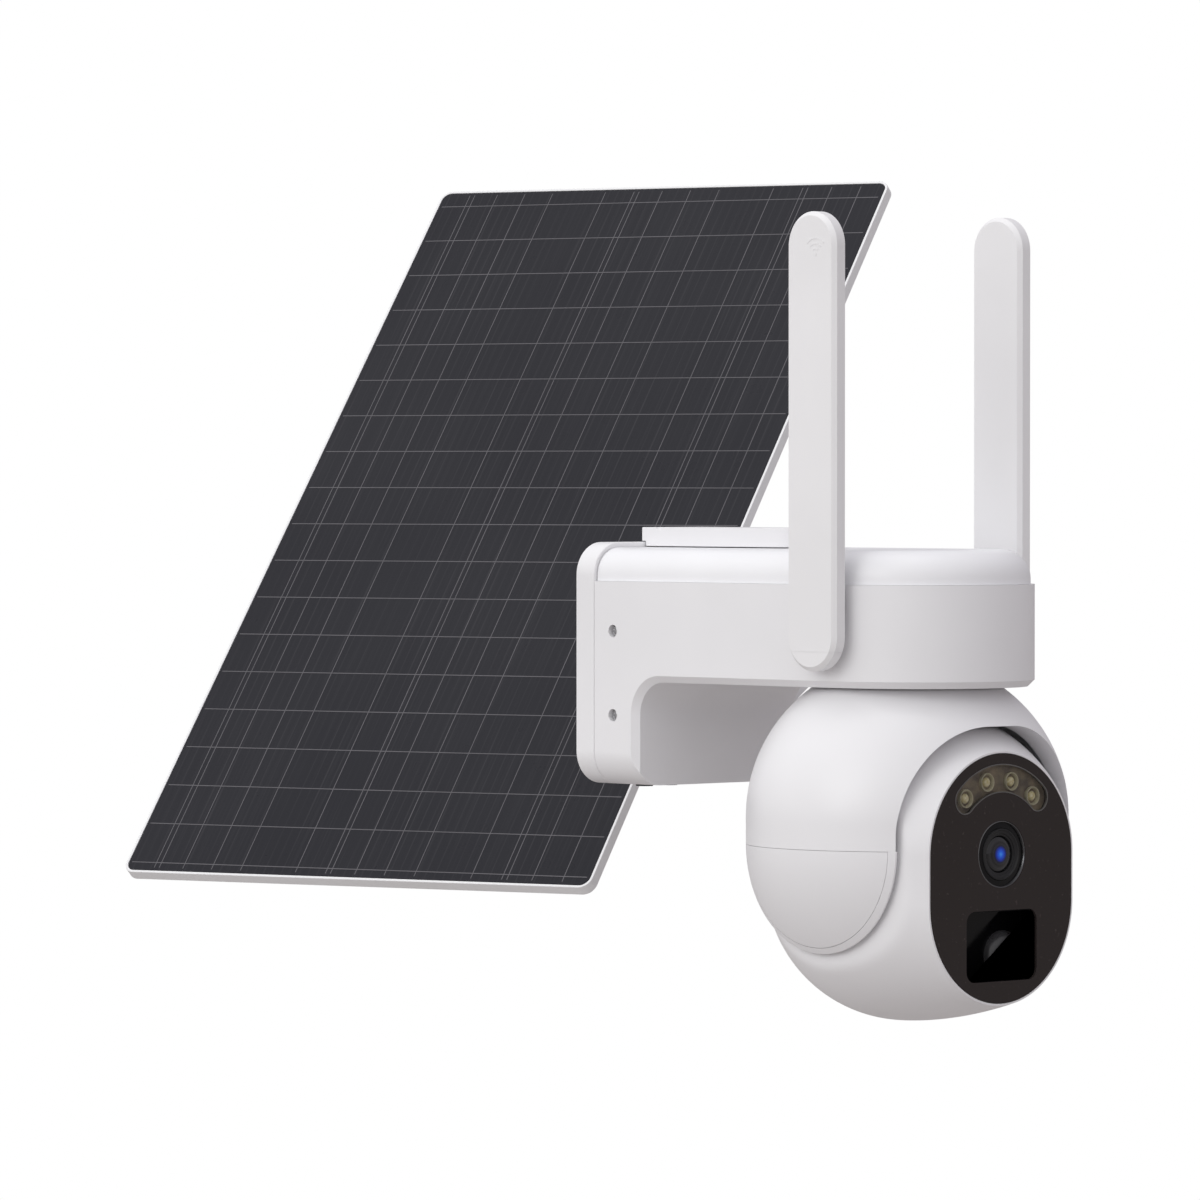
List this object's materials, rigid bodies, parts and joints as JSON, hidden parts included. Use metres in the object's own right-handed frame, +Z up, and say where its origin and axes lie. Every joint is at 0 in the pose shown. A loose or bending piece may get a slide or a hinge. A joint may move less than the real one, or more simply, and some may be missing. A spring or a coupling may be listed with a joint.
{
  "type": "solar security camera",
  "caption": "Solar-powered pan and tilt security camera: a ball head under an L-shaped wall arm, paddle antennas beside it, and a tilting solar panel on a side bracket.",
  "frame": {"origin": "centre of the wall plate's back face", "axes": "-Y points out of the wall along the arm, +Z is up, +X is the side that carries the solar panel"},
  "size_m": [0.2321, 0.3759, 0.2564],
  "materials": {
    "white_plastic": "fine satin moulded white",
    "grey_rubber": "matt",
    "steel": "satin",
    "dark_plastic": "matt black",
    "cell_wrap": "shrink wrap",
    "circuit_board": "solder mask",
    "gear_nylon": "natural nylon",
    "black_window": "polished black acrylic",
    "clear_window": "polished clear acrylic",
    "pir_lens": "smoked",
    "bezel": "dark satin",
    "lens_glass": "coated",
    "led_yellow": "phosphor under a clear dome",
    "solar_cells": "dark cells under satin glass"
  },
  "bodies": {
    "housing": {"wall_plate": "white_plastic", "arm_shell": "white_plastic", "top_lid": "white_plastic", "lid_seal": "grey_rubber", "top_block": "white_plastic", "side_screw_near_upper": "steel", "side_screw_near_lower": "steel", "side_screw_far_upper": "steel", "side_screw_far_lower": "steel", "battery_tray": "dark_plastic", "battery_cell_1": "cell_wrap", "battery_cell_2": "cell_wrap", "battery_cell_3": "cell_wrap", "main_board": "circuit_board", "cellular_module": "steel", "charge_board": "circuit_board", "charge_inlet": "steel", "pan_motor": "steel", "pan_bearing": "steel", "antenna_hub_near": "white_plastic", "antenna_hub_far": "white_plastic", "panel_bracket": "white_plastic", "swivel_bolt": "steel"},
    "pan_pinion": {"pan_pinion": "gear_nylon"},
    "pan_head": {"head_shell": "white_plastic", "ear_cover_near": "white_plastic", "ear_cover_far": "white_plastic", "pan_gear": "gear_nylon", "retaining_ring": "steel", "tilt_motor": "steel"},
    "tilt_drum": {"drum_shell": "white_plastic", "front_window": "black_window", "led_window": "clear_window", "pir_lens": "pir_lens", "lens_bezel": "bezel", "lens_barrel": "dark_plastic", "lens_glass": "lens_glass", "sensor_board": "circuit_board", "led_board": "circuit_board", "spot_led_1": "led_yellow", "spot_led_2": "led_yellow", "spot_led_3": "led_yellow", "spot_led_4": "led_yellow", "pir_sensor": "steel", "speaker": "dark_plastic"},
    "antenna_near": {"antenna_near": "white_plastic"},
    "antenna_far": {"antenna_far": "white_plastic"},
    "power_button": {"power_button": "grey_rubber"},
    "reset_button": {"reset_button": "grey_rubber"},
    "panel_arm": {"swivel_arm": "white_plastic"},
    "solar_panel": {"panel_tray": "white_plastic", "solar_laminate": "solar_cells", "panel_saddle": "white_plastic", "clamp_knob": "dark_plastic", "junction_box": "dark_plastic", "cable_gland": "grey_rubber"}
  },
  "joints": [
    {"name": "head_pan", "type": "hinge", "parent": "housing", "child": "pan_head", "pos_m": [0, -0.1066, -0.0516], "axis": [0, 0, 1], "range_deg": [-170, 170]},
    {"name": "pinion_spin", "type": "hinge", "parent": "housing", "child": "pan_pinion", "pos_m": [0, -0.1291, 0.001], "axis": [0, 0, 1], "range_deg": [-700, 700]},
    {"name": "head_tilt", "type": "hinge", "parent": "pan_head", "child": "tilt_drum", "pos_m": [0, -0.1066, -0.0516], "axis": [1, 0, 0], "range_deg": [-5, 50]},
    {"name": "antenna_near_swing", "type": "hinge", "parent": "housing", "child": "antenna_near", "pos_m": [-0.0359, -0.1078, 0.0098], "axis": [1, 0, 0], "range_deg": [-55, 90]},
    {"name": "antenna_far_swing", "type": "hinge", "parent": "housing", "child": "antenna_far", "pos_m": [0.0359, -0.1078, 0.0098], "axis": [1, 0, 0], "range_deg": [-55, 90]},
    {"name": "panel_swivel", "type": "hinge", "parent": "housing", "child": "panel_arm", "pos_m": [0.10827, -0.014, 0.02494], "axis": [0, 0, 1], "range_deg": [-150, 3]},
    {"name": "panel_tilt", "type": "hinge", "parent": "panel_arm", "child": "solar_panel", "pos_m": [0.06794, 0.12625, 0.02494], "axis": [0.2763, -0.9611, 0], "range_deg": [-25, 25]},
    {"name": "power_button_press", "type": "slide", "parent": "housing", "child": "power_button", "axis": [0, 0, 1], "range_m": [0, 0.0008], "stiffness_N_per_m": 600, "springref_m": -0.0003},
    {"name": "reset_button_press", "type": "slide", "parent": "housing", "child": "reset_button", "axis": [0, 0, 1], "range_m": [0, 0.0008], "stiffness_N_per_m": 600, "springref_m": -0.0003}
  ],
  "couplings": [
    {"joint": "pinion_spin", "follows": "head_pan", "ratio": -4}
  ]
}
